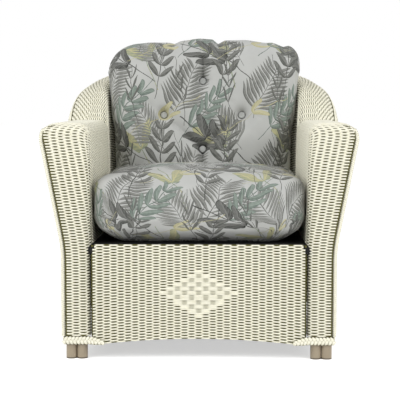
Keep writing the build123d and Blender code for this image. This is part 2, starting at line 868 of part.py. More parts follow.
def tuft(x, y, shrink):
    """Bell-mouthed hollow that a button pulls into the cushion, grown by shrink."""
    low = button_seat - shrink
    narrow = button_radius + clearance + shrink
    wide = tuft_radius + shrink
    high = back_front + shrink
    top = high + overshoot
    reach = wide - narrow
    middle = Vector(wide - reach * math.cos(math.pi / 4), 0, low + (high - low) * math.sin(math.pi / 4))
    edges = [
        line((0, 0, low), (narrow, 0, low)),
        arc((narrow, 0, low), middle, (wide, 0, high)),
        line((wide, 0, high), (wide, 0, top)),
        line((wide, 0, top), (0, 0, top)),
        line((0, 0, top), (0, 0, low)),
    ]
    return Pos(x, y, 0) * revolve(Face(Wire(edges)), axis=Axis.Z)


def crease(start, end, shrink):
    """Shallow fold between two points of the cushion's front."""
    radius = crease_radius + shrink
    height = back_front + crease_radius - crease_depth
    return straight_bar((start[0], start[1], height), (end[0], end[1], height), radius)


def tufted(shrink):
    """Back cushion form with its button hollows and the folds that run from them."""
    top_button, left_button, right_button, low_button = buttons_at
    folds = [
        (low_button, left_button),
        (low_button, right_button),
        (top_button, (0, back_cushion_height + overshoot)),
        (low_button, (0, -overshoot)),
    ]
    form = cut_all(back_pillow(shrink), [tuft(x, y, shrink) for x, y in buttons_at])
    return cut_all(form, [crease(start, end, shrink) for start, end in folds])


def button(x, y):
    rear = (x, y, button_seat + clearance)
    face = (x, y, button_seat + button_thickness)
    disc = straight_bar(rear, face, button_radius)
    return fillet(disc.edges().group_by(Axis.Z)[-1], button_round)


def anchor(x, y, extra):
    return straight_bar((x, y, -extra), (x, y, anchor_thickness + extra), button_radius + extra)


def twine(x, y, extra):
    return straight_bar((x, y, anchor_thickness), (x, y, button_seat + clearance), twine_radius + extra)


floor_cut = box_between(
    (-overall_depth, -overall_depth, deck_top - overall_depth),
    (overall_depth, overall_depth, deck_top + clearance),
)
inner_floor_cut = Pos(0, 0, cover_thickness) * floor_cut
core_floor_cut = Pos(0, 0, cover_thickness + clearance) * floor_cut
pockets = [anchor(x, y, clearance) for x, y in buttons_at]
twine_holes = [twine(x, y, clearance) for x, y in buttons_at]


def lean_back(shape):
    return back_plane.location * shape


cover = cut_all(tufted(0), pockets + twine_holes)
cover = lean_back(cover) - floor_cut
hollow = cut_all(tufted(cover_thickness), [anchor(x, y, cover_thickness) for x, y in buttons_at])
hollow = lean_back(hollow) - inner_floor_cut
core_wall = cover_thickness + clearance
core = cut_all(tufted(core_wall), [anchor(x, y, core_wall) for x, y in buttons_at] + twine_holes)
core = lean_back(core) - core_floor_cut
save({"back_cushion_cover": cover - hollow})
save({"back_cushion_core": core})
save({"back_cushion_buttons": lean_back(Compound([button(x, y) for x, y in buttons_at]))})
save({"back_anchor_buttons": lean_back(Compound([anchor(x, y, 0) for x, y in buttons_at]))})
save({"tufting_twine": lean_back(Compound([twine(x, y, 0) for x, y in buttons_at]))})
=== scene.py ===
import math

import bpy
import numpy as np
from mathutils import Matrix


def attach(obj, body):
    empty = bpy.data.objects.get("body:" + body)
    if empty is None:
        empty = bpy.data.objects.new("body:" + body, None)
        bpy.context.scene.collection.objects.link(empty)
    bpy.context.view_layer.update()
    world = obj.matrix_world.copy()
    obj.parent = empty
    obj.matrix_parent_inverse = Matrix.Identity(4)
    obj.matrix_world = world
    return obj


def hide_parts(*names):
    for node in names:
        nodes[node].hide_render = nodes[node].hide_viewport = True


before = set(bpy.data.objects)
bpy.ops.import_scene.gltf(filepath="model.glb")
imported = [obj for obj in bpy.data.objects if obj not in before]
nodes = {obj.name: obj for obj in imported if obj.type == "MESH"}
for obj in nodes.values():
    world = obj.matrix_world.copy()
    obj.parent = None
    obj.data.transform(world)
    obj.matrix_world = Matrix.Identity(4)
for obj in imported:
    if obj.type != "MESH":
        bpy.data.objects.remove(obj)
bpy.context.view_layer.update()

bpy.ops.object.select_all(action="DESELECT")


# Tube frame: bent steel tube, 30 mm in the legs and 25 mm in the rails, welded and powder coated.
# Only the paired front feet show; the rest carries the weave from inside.
def linear(colour):
    """Linear colour of an sRGB hex value."""
    parts = [int(colour[i : i + 2], 16) / 255 for i in (1, 3, 5)]
    return [p / 12.92 if p <= 0.04045 else ((p + 0.055) / 1.055) ** 2.4 for p in parts] + [1.0]


def add(tree, kind, sockets, **settings):
    """One node with its settings, and with values or links on its sockets."""
    made = tree.nodes.new("ShaderNode" + kind)
    for name, value in settings.items():
        setattr(made, name, value)
    for socket, value in sockets.items():
        if isinstance(value, bpy.types.NodeSocket):
            tree.links.new(value, made.inputs[socket])
        else:
            made.inputs[socket].default_value = value
    return made


def start_material(name, roughness):
    """New material with its tree and shader."""
    made = bpy.data.materials.new(name)
    made.use_nodes = True
    shader = made.node_tree.nodes["Principled BSDF"]
    shader.inputs["Roughness"].default_value = roughness
    return made, made.node_tree, shader


def mottled(tree, low, high, size):
    """Colour that wanders between two hex values over patches of the given size."""
    place = add(tree, "TexCoord", {})
    noise = add(tree, "TexNoise", {"Vector": place.outputs["Object"], "Scale": 1 / size, "Detail": 3.0})
    mix = add(tree, "Mix", {0: noise.outputs[0], 6: linear(low), 7: linear(high)}, data_type="RGBA")
    return mix.outputs[2]


def grained(tree, shader, size, height):
    """Fine raised grain of the given size and height."""
    place = add(tree, "TexCoord", {})
    noise = add(tree, "TexNoise", {"Vector": place.outputs["Object"], "Scale": 1 / size, "Detail": 2.0})
    bump = add(tree, "Bump", {"Height": noise.outputs[0], "Distance": height, "Strength": 0.6})
    tree.links.new(bump.outputs[0], shader.inputs["Normal"])


def dress(names, material):
    """Gives CAD nodes a material."""
    for name in names:
        nodes[name].data.materials.clear()
        nodes[name].data.materials.append(material)


# Powder coat: a satin film with a faint orange-peel grain about 1 mm across
powder_coat, tree, shader = start_material("taupe_powder_coat", 0.42)
tree.links.new(mottled(tree, "#938570", "#A79A84", 0.03), shader.inputs["Base Color"])
grained(tree, shader, 0.0012, 0.00006)
tubes = ["rear_seat_rail", "back_rim_tube", "back_hem_rod", "apron_hem_rod"]
for side in ("left_", "right_"):
    for name in ("front_hoop", "rear_leg", "arm_rail", "seat_side_rail", "back_strut", "side_hem_rod"):
        tubes.append(side + name)
dress(tubes, powder_coat)

# Glides: moulded nylon plugs pressed into the tube ends.
# A dull, slightly speckled brown grey.
nylon, tree, shader = start_material("moulded_nylon", 0.55)
tree.links.new(mottled(tree, "#5E564A", "#6F6657", 0.004), shader.inputs["Base Color"])
grained(tree, shader, 0.0008, 0.00004)
dress(["leg_glides"], nylon)


# Seat deck: black polypropylene webbing, riveted to the rails both ways, under a black cloth. Their near
# black
# is partly their own colour and partly painted shade, and the same material on the front rail is painted
# shade:
# together they make the dark below the seat cushion.
def threaded(tree, shader, place, spacing, height, strength):
    """Raised threads that cross at the given spacing."""
    split = add(tree, "SeparateXYZ", {0: place})
    waves = []
    for axis in ("X", "Y"):
        angle = add(tree, "Math", {0: split.outputs[axis], 1: 2 * math.pi / spacing}, operation="MULTIPLY")
        waves.append(add(tree, "Math", {0: angle.outputs[0]}, operation="SINE").outputs[0])
    crossing = add(tree, "Math", {0: waves[0], 1: waves[1]}, operation="MULTIPLY")
    bump = add(tree, "Bump", {"Height": crossing.outputs[0], "Distance": height, "Strength": strength})
    tree.links.new(bump.outputs[0], shader.inputs["Normal"])


def woven_black(name, low, high, spacing):
    """Black cloth with threads crossing at the given spacing."""
    made, tree, shader = start_material(name, 0.85)
    tree.links.new(mottled(tree, low, high, 0.02), shader.inputs["Base Color"])
    place = add(tree, "TexCoord", {})
    threaded(tree, shader, place.outputs["Object"], spacing, 0.0003, 0.7)
    return made


# Webbing with a coarse rib, and a finer, blacker cloth
dress(["long_straps", "cross_straps"], woven_black("black_webbing", "#070707", "#0E0E0D", 0.003))
dress(["deck_cloth", "front_seat_rail"], woven_black("black_deck_cloth_and_painted_shade", "#040404", "#090908", 0.0016))

# Rivets: plain steel, brushed by handling
rivet_steel, tree, shader = start_material("rivet_steel", 0.38)
shader.inputs["Metallic"].default_value = 1.0
tree.links.new(mottled(tree, "#8F8F8C", "#B4B4B0", 0.003), shader.inputs["Base Color"])
dress(["strap_rivets"], rivet_steel)

# Woven shell: oval resin strand over flat upright stakes, one over and one under, wrapped round the
# tubes. It runs up the inner wall, over the rolled top and, past a braided seam, down outside.
seat_half = 0.297
corner_radius = 0.120
corner_x = seat_half - corner_radius
deck = 0.318
inner_foot = 0.3193
arm_top = 0.656
rim_top = 0.848
hem = 0.040
waist = 0.310
arm_slope = 0.02
back_slope = math.tan(math.radians(15))
arm_top_width = 0.148
arm_foot_width = 0.081
back_top_width = 0.230
back_foot_width = 0.160
inner_roll = 0.030
outer_roll = 0.042
waist_radius = 0.420
arm_front = -0.417
round_depth = 0.043
round_inset = 0.019
front = -0.460
outer_front = -0.4477
row_pitch = 0.004
stake_pitch = 0.0196
strand_half_width = 0.0022
strand_half_thickness = 0.0017
strand_sides = 6
strand_fill = 0.55
crest_tone = 0.4
weave_wave = 0.0019
weave_inset = 0.0027
braid_slot = 0.0068
lap = 0.004
stake_depth = 0.0026
stake_half_thickness = 0.0005
stake_fill = 0.55
stake_tone = -0.8
stake_every = 4
steps_per_stake = 3
rib_fade = 0.12
rib_height = 0.6
rib_sink = 0.25
rib_hold = 0.75
rib_tone = 0.12
rib_lean = 0.27
roll_steps = 12
tangent_step = 0.001


def rounded(corners, radii):
    """Points along a polyline with its inner corners rounded."""
    points = [np.array(corners[0])]
    for before, corner, after, radius in zip(corners, corners[1:], corners[2:], radii):
        before, corner, after = np.array(before), np.array(corner), np.array(after)
        u = (before - corner) / np.linalg.norm(before - corner)
        v = (after - corner) / np.linalg.norm(after - corner)
        half = math.acos(u @ v) / 2
        middle = (u + v) / np.linalg.norm(u + v)
        centre = corner + middle * radius / math.sin(half)
        first = corner + u * radius / math.tan(half) - centre
        start = math.atan2(first[1], first[0])
        sweep = math.copysign(math.pi - 2 * half, v[0] * u[1] - v[1] * u[0])
        for step in range(roll_steps + 1):
            angle = start + sweep * step / roll_steps
            points.append(centre + radius * np.array([math.cos(angle), math.sin(angle)]))
    points.append(np.array(corners[-1]))
    return np.array(points)


def lengths(points):
    """Distance of each point along its line."""
    return np.concatenate([[0], np.cumsum(np.linalg.norm(np.diff(points, axis=0), axis=1))])


def along(points, distances):
    """Points and outward normals at distances along a line in the section's plane."""
    run = lengths(points)

    def at(d):
        return np.stack([np.interp(d, run, points[:, 0]), np.interp(d, run, points[:, 1])], axis=1)

    d = np.asarray(distances)
    ahead = at(np.minimum(d + tangent_step, run[-1])) - at(np.maximum(d - tangent_step, 0))
    ahead /= np.linalg.norm(ahead, axis=1)[:, None]
    return at(d), np.stack([-ahead[:, 1], ahead[:, 0]], axis=1)


def shell_line(turn, rise):
    """Section of the shell from the inner foot over the top to the outer hem, and where its seam is."""
    slope = arm_slope + (back_slope - arm_slope) * turn
    top = arm_top + (rim_top - arm_top) * rise
    top_width = arm_top_width + (back_top_width - arm_top_width) * turn
    foot_width = arm_foot_width + (back_foot_width - arm_foot_width) * turn
    corners = [
        (slope * (inner_foot - deck), inner_foot),
        (slope * (top - deck), top),
        (top_width, top),
        (foot_width, waist),
        (foot_width, hem),
    ]
    points = rounded(corners, (inner_roll, outer_roll, waist_radius))
    seam = lengths(points)[roll_steps + 2 + roll_steps // 2]
    return points, seam


def smooth(share):
    """A share from 0 to 1, eased at both ends."""
    return share * share * (3 - 2 * share)


def resampled(values, run, distances):
    """Values along a line in space, read again at other distances."""
    return np.stack([np.interp(distances, run, values[:, axis]) for axis in range(3)], axis=-1)


back_points = shell_line(1.0, 1.0)[0]
back_wall = -front - back_points[:, 0].max()
corner_y = back_wall - corner_radius
rim_run = (corner_radius + arm_top_width) * math.pi / 2 + corner_x
corner_stakes = 23
straight_stakes = 9
arm_stakes = 28


def back_station(w):
    """Foot, outward direction and section of the shell w stakes on from the left arm."""
    if w <= corner_stakes:
        angle = math.pi / 2 * w / corner_stakes
        travelled = (corner_radius + arm_top_width) * angle
        turn = smooth(w / corner_stakes)
    else:
        angle = math.pi / 2
        travelled = rim_run - corner_x + corner_x * (w - corner_stakes) / straight_stakes
        turn = 1.0
    out = np.array([-math.cos(angle), math.sin(angle), 0.0])
    foot = np.array([-corner_x, corner_y, 0.0]) + corner_radius * out
    if w > corner_stakes:
        foot[0] += corner_x * (w - corner_stakes) / straight_stakes
    return foot, out, shell_line(turn, smooth((travelled / rim_run) ** 0.5))


def arm_station(w):
    """The same for the straight left arm, w stakes back from its front."""
    foot = np.array([-seat_half, arm_front - lap + (corner_y - arm_front + lap) * w / arm_stakes, 0.0])
    return foot, np.array([-1.0, 0.0, 0.0]), shell_line(0.0, 0.0)


def arm_outer_station(w):
    """The same for the outside of the arm, which starts behind the edge braid."""
    foot = np.array([-seat_half, outer_front + (corner_y - outer_front) * w / arm_stakes, 0.0])
    return foot, np.array([-1.0, 0.0, 0.0]), shell_line(0.0, 0.0)


def shell_grid(station, stations, outside, rows):
    """Places and normals of the weave's middle, by row and station, on one face of the shell."""
    places, normals = [], []
    for w in stations:
        foot, out, (points, seam) = station(w)
        end = lengths(points)[-1]
        low, high = (seam + braid_slot, end) if outside else (0.0, seam - braid_slot)
        pitch = (high - low) / rows
        at, normal = along(points, low + pitch * (np.arange(rows) + 0.5))
        at = at - normal * weave_inset
        up = np.array([0.0, 0.0, 1.0])
        places.append(foot + at[:, :1] * out + at[:, 1:] * up)
        normals.append(normal[:, :1] * out + normal[:, 1:] * up)
    return np.array(places).transpose(1, 0, 2), np.array(normals).transpose(1, 0, 2)


def pick(piece):
    """Makes a piece the only one selected."""
    bpy.ops.object.select_all(action="DESELECT")
    bpy.context.view_layer.objects.active = piece
    piece.select_set(True)


def face_out(piece):
    """Turns a piece's faces outwards."""
    pick(piece)
    bpy.ops.object.mode_set(mode="EDIT")
    bpy.ops.mesh.select_all(action="SELECT")
    bpy.ops.mesh.normals_make_consistent(inside=False)
    bpy.ops.object.mode_set(mode="OBJECT")
    piece.select_set(False)


def strand_mesh(name, strands):
    """Closed tubes of oval strand. A strand is its places, normals, tones and half sizes."""
    sides = strand_sides
    turns = np.arange(sides) * 2 * math.pi / sides
    verts, faces, tones = [], [], []
    start = 0
    for places, normals, levels, half_width, half_thickness in strands:
        count = len(places)
        ahead = np.gradient(places, axis=0)
        across = np.cross(ahead, normals)
        across /= np.linalg.norm(across, axis=1)[:, None]
        ring = (
            places[:, None]
            + across[:, None] * (half_width * np.cos(turns))[None, :, None]
            + normals[:, None] * (half_thickness * np.sin(turns))[None, :, None]
        )
        verts.append(ring.reshape(-1, 3))
        # crest_tone paints each strand lighter on its outer side and darker on its inner side: painted light
        # and shade
        tones.append((levels[:, None] + crest_tone * np.sin(turns)[None]).ravel())
        a = start + np.arange(count - 1)[:, None] * sides + np.arange(sides)[None]
        b = start + np.arange(count - 1)[:, None] * sides + (np.arange(sides)[None] + 1) % sides
        faces += np.stack([a, b, b + sides, a + sides], axis=2).reshape(-1, 4).tolist()
        faces.append(list(range(start + sides - 1, start - 1, -1)))
        faces.append(list(range(start + (count - 1) * sides, start + count * sides)))
        start += count * sides
    mesh = bpy.data.meshes.new(name)
    mesh.from_pydata(np.concatenate(verts), [], faces)
    mesh.attributes.new("strand_height", "FLOAT", "POINT")
    mesh.attributes["strand_height"].data.foreach_set("value", np.concatenate(tones).astype(np.float32))
    mesh.shade_smooth()
    made = bpy.data.objects.new(name, mesh)
    bpy.context.scene.collection.objects.link(made)
    face_out(made)
    return made


def mirrored(piece, name):
    """Copy of a piece on the other side of the chair."""
    made = piece.copy()
    made.data = piece.data.copy()
    made.name = name
    made.data.name = name
    bpy.context.scene.collection.objects.link(made)
    pick(made)
    bpy.ops.object.mode_set(mode="EDIT")
    bpy.ops.mesh.select_all(action="SELECT")
    bpy.ops.transform.resize(value=(-1, 1, 1), center_override=(0, 0, 0))
    bpy.ops.object.mode_set(mode="OBJECT")
    face_out(made)
    return made


# Resin strand: cream, with olive brown in the hollows of the weave,
# partly a real wash and partly painted shade
wicker, tree, shader = start_material("cream_resin_strand", 0.5)
height = add(tree, "Attribute", {}, attribute_name="strand_height")
share = add(
    tree,
    "MapRange",
    {"Value": height.outputs["Fac"], "From Min": -0.42, "From Max": 0.45},
    interpolation_type="SMOOTHSTEP",
)
cream_colour = mottled(tree, "#EFEBD4", "#FBF9EA", 0.012)
wash_and_painted_shade = mottled(tree, "#413F0A", "#66621C", 0.02)
# The share of cream grows with the strand's height: lower parts take the olive, as wash and painted shade
strand_colour_with_painted_shade = add(tree, "Mix", {0: share.outputs[0], 6: wash_and_painted_shade, 7: cream_colour}, data_type="RGBA")
tree.links.new(strand_colour_with_painted_shade.outputs[2], shader.inputs["Base Color"])
grained(tree, shader, 0.0015, 0.00012)


def weave_strands(places, normals, phase, ribbed, lined):
    """Rows that wave over and under the stakes, and the stakes that they cross.

    Past the ribbed share of the way up, the stakes stand out as ribs that lean up along the rim. Where
    the weave is lined, every second row is painted darker.
    """
    rows, count = places.shape[:2]
    w = np.arange(count) / steps_per_stake + phase
    widest = np.percentile(np.linalg.norm(np.diff(places, axis=0), axis=2), 95)
    strands = []
    for row in range(rows):
        rib = smooth(min(max((row / rows - ribbed) / rib_fade, 0.0), 1.0))
        ribs = rib_height * np.cos(2 * math.pi * (w - rib_lean * max(row - ribbed * rows, 0))) - rib_sink
        wave = np.cos(math.pi * (w + row)) * (1 - rib_hold * rib) + rib * ribs
        # The tone is the weave's depth as painted shade; the ribbed rim is painted lighter and every second
        # lined row darker
        tone = wave + rib_tone * rib - lined * (row % 2) * (1 - rib)
        strands.append(
            (
                places[row] + normals[row] * (weave_wave * wave)[:, None],
                normals[row],
                tone,
                strand_fill * widest,
                strand_half_thickness,
            )
        )
    apart = np.linalg.norm(np.diff(places, axis=1), axis=2).max()
    rise = np.append(np.arange(0, rows - 1, stake_every), rows - 1)
    # A stake lies flat against the rows, also where the rim climbs
    square = np.cross(np.gradient(places, axis=1), np.gradient(places, axis=0))
    square *= np.sign((square * normals).sum(axis=2, keepdims=True))
    square /= np.linalg.norm(square, axis=2, keepdims=True)
    # The stakes take stake_tone: painted dark, as painted shade behind the rows
    for column in range(0, count, steps_per_stake):
        strands.append(
            (
                places[rise, column] - square[rise, column] * stake_depth,
                square[rise, column],
                np.full(len(rise), stake_tone),
                stake_fill * steps_per_stake * apart,
                stake_half_thickness,
            )
        )
    return strands


def finish_weave(piece, *replaced):
    """Gives a woven piece its material and place on the frame, and hides the nodes it stands in for."""
    piece.data.materials.append(wicker)
    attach(piece, "frame")
    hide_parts(*replaced)


arm_stations = np.arange(arm_stakes * steps_per_stake + 1) / steps_per_stake
back_stations = np.arange((corner_stakes + straight_stakes) * steps_per_stake + 1) / steps_per_stake
# Each panel's name, stations, face, rows, phase, where its ribs start and how far it is lined
for name, station, stations, outside, rows, phase, ribbed, lined in (
    ("arm_inner_weave", arm_station, arm_stations, False, 112, 0.5, 1.0, 0.2),
    ("arm_outer_weave", arm_outer_station, arm_stations, True, 132, 0.5, 1.0, 0.0),
    ("back_inner_weave", back_station, back_stations, False, 136, 0.0, 0.80, 0.2),
    ("back_outer_weave", back_station, back_stations, True, 140, 0.0, 1.0, 0.0),
):
    places, normals = shell_grid(station, stations, outside, rows)
    if name == "arm_inner_weave":
        # On the outer roll the rows run on to meet the rounded top of the arm front
        on_roll = places[:, 0, 0] < outer_roll - seat_half - arm_top_width
        drop = np.clip((arm_top - weave_inset - places[:, 0, 2]) / round_inset, 0, 1)
        reach = np.minimum(round_depth * np.sqrt(1 - (1 - drop) ** 2), arm_front - outer_front)
        share = (corner_y - places[:, :, 1]) / (corner_y - arm_front)
        places[:, :, 1] -= (on_roll * reach)[:, None] * share
    half = strand_mesh("left_" + name + "_strands", weave_strands(places, normals, phase, ribbed, lined))
    other = mirrored(half, "right_" + name + "_strands")
    if name.startswith("arm"):
        finish_weave(half, "left_" + name)
        finish_weave(other, "right_" + name)
    else:
        finish_weave(half, name)
        finish_weave(other, name)

# Arm fronts: the same weave, rounded over at the inner and upper edge so that its rows run on
# round the corner. The stakes follow the outer edge as it flares.
arm_front_foot = 0.0653
arm_front_edge = 0.0084
arm_front_wall = 0.0005
arm_front_lean = arm_slope * (arm_top - deck)
arm_front_corner = inner_roll
outline = rounded(
    [
        (arm_front_wall, arm_front_foot),
        (arm_front_lean, arm_top),
        (arm_top_width - arm_front_edge, arm_top),
        (arm_foot_width - arm_front_edge, waist),
        (arm_foot_width - arm_front_edge, arm_front_foot),
    ],
    (arm_front_corner, outer_roll - arm_front_edge, waist_radius),
)
outer_side = outline[roll_steps + 2 :][::-1]
flat_height = arm_top - round_inset - arm_front_foot
flat_count = round(flat_height / row_pitch)
flat_rows = arm_front_foot + (np.arange(flat_count) + 0.5) * flat_height / flat_count
round_angles = np.linspace(math.pi / 2, 0.0, 200)
round_line = np.stack([round_depth * np.sin(round_angles), round_inset * (1 - np.cos(round_angles))], axis=1)
round_run = lengths(round_line)
round_count = round(round_run[-1] / row_pitch)
round_steps = (np.arange(round_count) + 0.5) * round_run[-1] / round_count
top_rows = arm_top - np.interp(round_steps, round_run, round_line[:, 1])
bow_start = 0.540
bow = 0.8
row_points = 500
shortest_step = 0.003
splints_per_stake = 4
splints = 32
top_painted_light = 0.4
seam_painted_shade = 1.4
seam_shade_width = 0.005
slit_shade_width = 0.012


forward = np.array([0.0, -1.0, 0.0])


def front_row(z):
    """Places and normals of one row of the arm front, from its outer to its inner edge.

    Near the top a row bows down towards the inner corner, as the stakes there fan out.
    """
    way_up = (z - arm_front_foot) / (arm_top - arm_front_foot)
    wall = arm_front_wall + (arm_front_lean - arm_front_wall) * way_up
    centre = np.array([wall + arm_front_corner, arm_top - arm_front_corner])
    across = np.linspace(np.interp(z, outer_side[:, 1], outer_side[:, 0]), wall, row_points)
    into_corner = np.clip(centre[0] - across, 0, arm_front_corner)
    sag = arm_front_corner - np.sqrt(arm_front_corner**2 - into_corner**2)
    up = z - bow * smooth(min(max((z - bow_start) / (arm_top - bow_start), 0), 1)) * sag
    above = up - centre[1]
    in_corner = (into_corner > 0) & (above > 0)
    to_edge = np.minimum(across - wall, arm_top - up)
    to_edge = np.where(in_corner, arm_front_corner - np.hypot(into_corner, above), to_edge)
    side = np.where(in_corner, into_corner, (across - wall < arm_top - up) * 1.0)
    rise = np.where(in_corner, above, 1.0 - side)
    cosine = 1 - np.clip(to_edge / round_inset, 0, 1)
    sine = np.sqrt(1 - cosine**2)
    edge = np.stack([side, np.zeros(row_points), rise], axis=1)
    edge /= np.linalg.norm(edge, axis=1)[:, None]
    normal = edge * (cosine * round_depth)[:, None] + forward * (sine * round_inset)[:, None]
    normal /= np.linalg.norm(normal, axis=1)[:, None]
    place = np.stack([-seat_half - across, arm_front - round_depth * sine, up], axis=1)
    place -= normal * weave_inset
    last = len(across) if (to_edge > 0).all() else int(np.argmin(to_edge > 0))
    place, normal = place[:last], normal[:last]
    run = lengths(place)
    steps = np.append(np.arange(0, run[-1] - shortest_step, stake_pitch / steps_per_stake), run[-1])
    return resampled(place, run, steps), resampled(normal, run, steps)


# Painted shade darkens the seam beside the edge braid and the slit beside the apron. Towards the
# top the rows are painted lighter, as painted light.
front_rows = [front_row(z) for z in np.concatenate([flat_rows, top_rows])]
strands = []
for row, (place, normal) in enumerate(front_rows):
    run = lengths(place)
    wave = np.cos(math.pi * (run / stake_pitch + 0.5 + row))
    tone = wave + top_painted_light * np.clip((place[:, 2] - deck) / (arm_top - deck), 0, 1) ** 2
    if place[0, 2] < arm_top - outer_roll / 2:
        tone -= seam_painted_shade * np.exp(-((run / seam_shade_width) ** 2))
    if place[0, 2] < deck:
        tone -= seam_painted_shade * np.exp(-(((run[-1] - run) / slit_shade_width) ** 2))
    waved = place + normal * (weave_wave * wave)[:, None]
    strands.append((waved, normal, tone, strand_half_width, strand_half_thickness))
# Behind the rows each stake is split into narrow splints, which follow the rounded edge.
# Like all the stakes they are painted dark, as painted shade.
splint_pitch = stake_pitch / splints_per_stake
for splint in range(splints):
    reach = (splint + 0.5) * splint_pitch
    stake_places, stake_normals = [], []
    for place, normal in front_rows[::stake_every]:
        run = lengths(place)
        if reach < run[-1]:
            stake_places.append(resampled(place, run, reach))
            stake_normals.append(resampled(normal, run, reach))
    if len(stake_places) > 2:
        stake_normals = np.array(stake_normals)
        strands.append(
            (
                np.array(stake_places) - stake_normals * stake_depth,
                stake_normals,
                np.full(len(stake_places), stake_tone),
                stake_fill * splint_pitch,
                stake_half_thickness,
            )
        )
left_front = strand_mesh("left_arm_front_strands", strands)
finish_weave(mirrored(left_front, "right_arm_front_strands"), "right_arm_front_weave")
finish_weave(left_front, "left_arm_front_weave")

# Apron: a woven panel hung before the front rail, its rows bowed to an arched hem. In its middle
# the rows go over the stakes three at a time, which raises a diamond of floats.
apron_half = 0.294
apron_top = 0.321
apron_hem_ends = 0.039
apron_hem_middle = 0.058
apron_y = -0.4549
apron_corner = 0.010
apron_columns = 30
apron_rows = 68
apron_steps_per_stake = 4
apron_stake_fill = 0.52
apron_stake_points = 36
apron_stake_ends = (0.005, 0.995)
edge_stake_y = -0.445
edge_stake_out = 1.005
edge_stake_ends = (0.02, 0.99)
edge_stake_painted_shade = -1.5
edge_stake_half = (0.0034, 0.0017)
diamond_height = 0.186
diamond_half_width = 0.114
diamond_half_height = 0.061
float_rows = 3
float_over = 1.4
float_under = -0.7
float_tones = (-0.2, 0.08)
hair = 1e-6
apron_pitch = 2 * apron_half / apron_columns
strands = []
apron_x = np.linspace(-apron_half, apron_half, apron_columns * apron_steps_per_stake + 1)
column_x = np.arange(apron_columns + 1) * apron_pitch - apron_half


def apron_z(x, share):
    """Height on the apron a share of the way from its hem to its top."""
    bottom = apron_hem_ends + (apron_hem_middle - apron_hem_ends) * (1 - (x / apron_half) ** 2)
    return bottom + (apron_top - bottom) * share


for row in range(apron_rows):
    share = (row + 0.5) / apron_rows
    column_z = apron_z(column_x, share)
    group = np.floor((column_z - diamond_height) / (float_rows * row_pitch) + 0.5)
    off_middle = np.abs(group) * float_rows * row_pitch
    inside = np.abs(column_x) / diamond_half_width + off_middle / diamond_half_height < 1
    plain = np.where((np.arange(apron_columns + 1) + row) % 2 == 0, 1.0, -1.0)
    floats = np.where((np.arange(apron_columns + 1) + group) % 2 == 0, float_over, float_under)
    levels = np.where(inside, floats, plain)
    gap = apron_top - apron_z(0.0, share)
    half = apron_half
    if gap < apron_corner:
        half -= apron_corner - math.sqrt(apron_corner**2 - (apron_corner - gap) ** 2)
    x = apron_x[np.abs(apron_x) <= half + hair]
    column = np.clip((x + apron_half) / apron_pitch, 0, apron_columns - hair)
    first = np.floor(column).astype(int)
    part = column - first
    wave = levels[first] + (levels[first + 1] - levels[first]) * smooth(part)
    place = np.stack([x, np.full(len(x), apron_y), apron_z(x, share)], axis=1)
    # The tone is the weave's depth as painted shade; in the diamond it is held within float_tones, so its
    # hollows stay light
    strands.append(
        (
            place + forward * (weave_wave * wave)[:, None],
            np.tile(forward, (len(x), 1)),
            np.where(inside[first] & inside[first + 1], np.clip(wave, *float_tones), wave),
            strand_half_width,
            strand_half_thickness,
        )
    )


def apron_stake(x, out, y, ends, tone, half_width, half_thickness):
    """A stake up the apron between two shares of its height."""
    rise = apron_z(x, np.linspace(*ends, apron_stake_points))
    place = np.stack([np.full(apron_stake_points, x * out), np.full(apron_stake_points, y), rise], axis=1)
    normal = np.tile(forward, (apron_stake_points, 1))
    return place, normal, np.full(apron_stake_points, tone), half_width, half_thickness


# The apron's stakes are painted dark as well, as painted shade behind its rows
stake_y = apron_y + stake_depth
stake_half = (apron_stake_fill * apron_pitch, stake_half_thickness)
for x in column_x[1:-1]:
    strands.append(apron_stake(x, 1.0, stake_y, apron_stake_ends, stake_tone, *stake_half))
# A bare stake along each side, set back in the slit beside the arm front, painted near black as painted shade
for x in (-apron_half, apron_half):
    stake = apron_stake(x, edge_stake_out, edge_stake_y, edge_stake_ends, edge_stake_painted_shade, *edge_stake_half)
    strands.append(stake)
apron = strand_mesh("apron_strands", strands)
finish_weave(apron, "apron_weave")


# Braids: plaits of three strands that close the edges of the weave, tacked on after weaving.
# They run up the arm fronts, under them, and along the seam of the rim.
points_per_repeat = 10
plait_tone = -0.12
plait_relief = 0.55
braid_sink = 0.002
braid_y = -0.454
braid_reach = 0.0034
edge_sizes = {"lift": 0.0018, "half_width": 0.0029, "half_thickness": 0.0024, "repeat": 0.016}
rim_sizes = {"lift": 0.0018, "half_width": 0.0029, "half_thickness": 0.0022, "repeat": 0.018}
foot_sizes = {"lift": 0.0016, "half_width": 0.0044, "half_thickness": 0.0022, "repeat": 0.030}
edge_points = 60
edge_foot = 0.0253
# Where the foot braid runs, from the outer edge in, and how far it swings
foot_places = np.array(
    [
        (-0.378, -0.4565, 0.0525),
        (-0.300, -0.4565, 0.0525),
        (-0.282, -0.4610, 0.0505),
        (-0.262, -0.4615, 0.0455),
    ]
)
foot_reach = np.array([0.0080, 0.0080, 0.0060, 0.0015])


